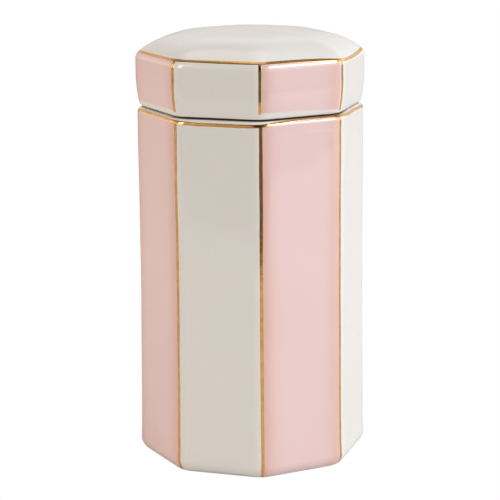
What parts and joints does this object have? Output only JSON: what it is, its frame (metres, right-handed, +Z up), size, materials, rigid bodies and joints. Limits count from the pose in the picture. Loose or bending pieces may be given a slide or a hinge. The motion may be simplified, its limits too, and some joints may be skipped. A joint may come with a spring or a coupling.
{
  "type": "lidded octagonal jar",
  "caption": "Tall octagonal lidded jar in glazed porcelain, hat-box style: alternating pink and white faces, gold lines on the corners and rims, domed lift-off lid with a ribbed sealing ring.",
  "frame": {"origin": "centre of the foot ring's resting plane", "axes": "+Z up through the lid; flats of the octagon face +-X, +-Y and the diagonals, with the pink faces on +-X and +-Y"},
  "size_m": [0.1004, 0.1004, 0.2013],
  "materials": {
    "white_glaze": "glossy clear-glazed white porcelain",
    "pink_glaze": "glossy pale pink glaze",
    "gold_lustre": "fired gold lustre line, hand banded, polished",
    "silicone": "matte translucent white silicone"
  },
  "bodies": {
    "jar": {"jar_body": "white_glaze", "jar_pink_panels": "pink_glaze", "jar_gold_corner_lines": "gold_lustre", "jar_gold_rim_line": "gold_lustre"},
    "seal": {"seal_ring": "silicone"},
    "lid": {"lid_body": "white_glaze", "lid_pink_panels": "pink_glaze", "lid_gold_corner_lines": "gold_lustre", "lid_gold_edge_line": "gold_lustre"}
  },
  "joints": [
    {"name": "lid_lift", "type": "slide", "parent": "jar", "child": "seal", "axis": [0, 0, 1], "range_m": [0, 0.09]},
    {"name": "lid_turn", "type": "hinge", "parent": "seal", "child": "lid", "pos_m": [0, 0, 0.1608], "axis": [0, 0, 1], "continuous": true}
  ]
}
